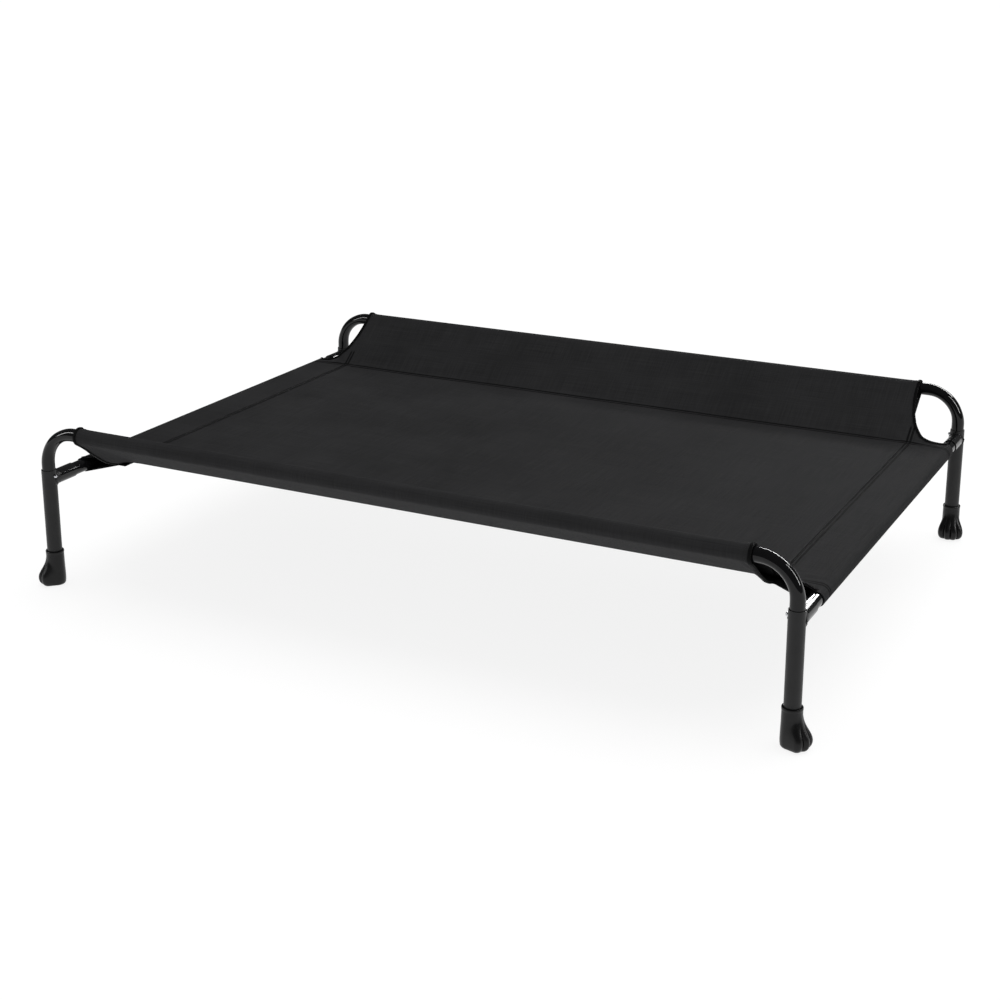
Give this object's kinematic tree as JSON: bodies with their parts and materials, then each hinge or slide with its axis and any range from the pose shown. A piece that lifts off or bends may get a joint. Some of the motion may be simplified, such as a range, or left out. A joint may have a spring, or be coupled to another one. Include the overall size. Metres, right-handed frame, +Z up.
{
  "type": "raised dog bed",
  "caption": "Raised dog bed: a black mesh sling on a plug-together frame of round steel tube, with raised long sides and rubber paw feet.",
  "frame": {"origin": "on the floor, midway between the four legs", "axes": "+X along the long side to the right, +Y from the front long side to the back one, +Z up"},
  "size_m": [1.3569, 0.968, 0.2848],
  "materials": {
    "leg_paint": "satin black powder coat",
    "rail_paint": "gloss black paint",
    "sling_mesh": "charcoal black coated yarn in a close weave",
    "edge_tape": "black woven binding tape",
    "foot_rubber": "moulded, satin",
    "button_zinc": "bright zinc plate",
    "spring_steel": "plain spring steel"
  },
  "bodies": {
    "frame": {"leg_front_left": "leg_paint", "leg_front_right": "leg_paint", "leg_back_left": "leg_paint", "leg_back_right": "leg_paint", "foot_front_left": "foot_rubber", "foot_front_right": "foot_rubber", "foot_back_left": "foot_rubber", "foot_back_right": "foot_rubber", "rail_front_left": "rail_paint", "rail_front_right": "rail_paint", "rail_back_left": "rail_paint", "rail_back_right": "rail_paint", "end_rail_left": "rail_paint", "end_rail_right": "rail_paint", "sling_deck": "sling_mesh", "sling_front_sleeve": "sling_mesh", "sling_back_sleeve": "sling_mesh", "sling_left_sleeve": "sling_mesh", "sling_right_sleeve": "sling_mesh", "binding_front_left": "edge_tape", "binding_front_right": "edge_tape", "binding_back_left": "edge_tape", "binding_back_right": "edge_tape", "spring_front_left": "spring_steel", "spring_front_right": "spring_steel", "spring_back_left": "spring_steel", "spring_back_right": "spring_steel", "spring_front_middle": "spring_steel", "spring_back_middle": "spring_steel"},
    "button_front_left": {"button_front_left": "button_zinc"},
    "button_front_right": {"button_front_right": "button_zinc"},
    "button_back_left": {"button_back_left": "button_zinc"},
    "button_back_right": {"button_back_right": "button_zinc"},
    "button_front_middle": {"button_front_middle": "button_zinc"},
    "button_back_middle": {"button_back_middle": "button_zinc"}
  },
  "joints": [
    {"name": "press_front_left", "type": "slide", "parent": "frame", "child": "button_front_left", "axis": [-1, 0, 0], "range_m": [0, 0.0055], "stiffness_N_per_m": 1200, "springref_m": -0.002, "deforming": ["spring_front_left"]},
    {"name": "press_front_right", "type": "slide", "parent": "frame", "child": "button_front_right", "axis": [1, 0, 0], "range_m": [0, 0.0055], "stiffness_N_per_m": 1200, "springref_m": -0.002, "deforming": ["spring_front_right"]},
    {"name": "press_back_left", "type": "slide", "parent": "frame", "child": "button_back_left", "axis": [-1, 0, 0], "range_m": [0, 0.0055], "stiffness_N_per_m": 1200, "springref_m": -0.002, "deforming": ["spring_back_left"]},
    {"name": "press_back_right", "type": "slide", "parent": "frame", "child": "button_back_right", "axis": [1, 0, 0], "range_m": [0, 0.0055], "stiffness_N_per_m": 1200, "springref_m": -0.002, "deforming": ["spring_back_right"]},
    {"name": "press_front_middle", "type": "slide", "parent": "frame", "child": "button_front_middle", "axis": [0, -0.8327, 0.5538], "range_m": [0, 0.0055], "stiffness_N_per_m": 1200, "springref_m": -0.002, "deforming": ["spring_front_middle"]},
    {"name": "press_back_middle", "type": "slide", "parent": "frame", "child": "button_back_middle", "axis": [0, 0.8327, 0.5538], "range_m": [0, 0.0055], "stiffness_N_per_m": 1200, "springref_m": -0.002, "deforming": ["spring_back_middle"]}
  ]
}
